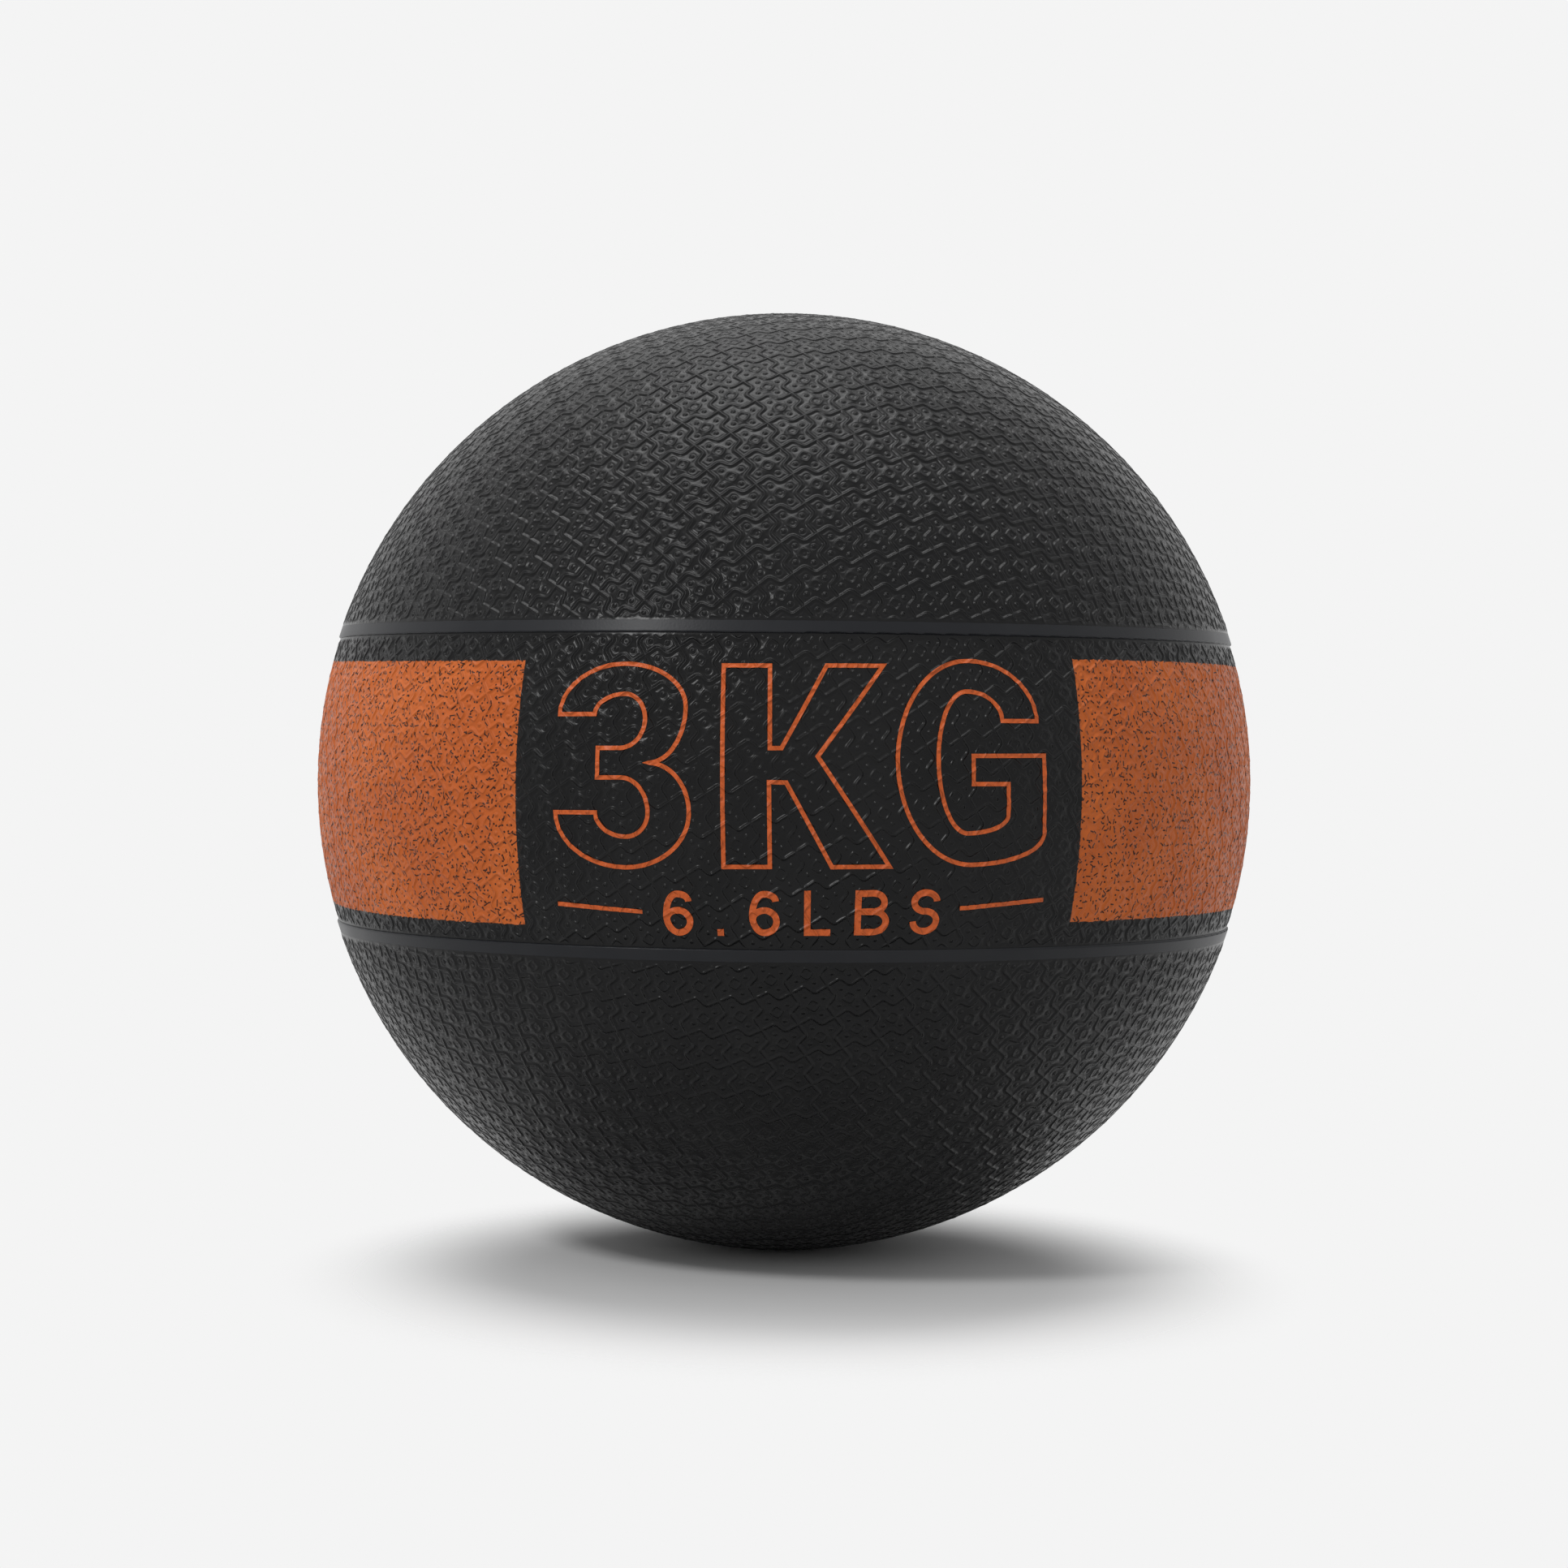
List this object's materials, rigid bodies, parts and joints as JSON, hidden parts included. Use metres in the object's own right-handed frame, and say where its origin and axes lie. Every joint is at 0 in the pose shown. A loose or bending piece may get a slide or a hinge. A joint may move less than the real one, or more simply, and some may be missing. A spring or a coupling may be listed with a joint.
{
  "type": "medicine ball",
  "caption": "Inflatable weighted rubber ball with a textured cover, a recessed printed centre band between two smooth ribs, and a needle valve.",
  "frame": {"origin": "the ball's centre", "axes": "+Z through the poles of the two caps; -Y out of the middle of the band's front panel, which carries the weight mark; +Y out of the valve"},
  "size_m": [0.229, 0.229, 0.23],
  "materials": {
    "cover_rubber": "satin",
    "band_rubber": "satin",
    "band_ink": "satin",
    "rib_rubber": "satin",
    "weight_rubber": "matte",
    "nylon_thread": "satin",
    "butyl_rubber": "satin",
    "valve_rubber": "satin"
  },
  "bodies": {
    "root": {"upper_cap_front": "cover_rubber", "upper_cap_right": "cover_rubber", "upper_cap_back": "cover_rubber", "upper_cap_left": "cover_rubber", "lower_cap_front": "cover_rubber", "lower_cap_right": "cover_rubber", "lower_cap_back": "cover_rubber", "lower_cap_left": "cover_rubber", "band_front": "band_rubber", "band_right": "band_rubber", "band_back": "band_rubber", "band_left": "band_rubber", "upper_rib": "rib_rubber", "lower_rib": "rib_rubber", "valve_pad": "rib_rubber", "front_weight_shell": "weight_rubber", "back_weight_shell": "weight_rubber", "nylon_winding": "nylon_thread", "bladder": "butyl_rubber", "valve_housing": "valve_rubber", "valve_core": "valve_rubber"}
  },
  "joints": []
}
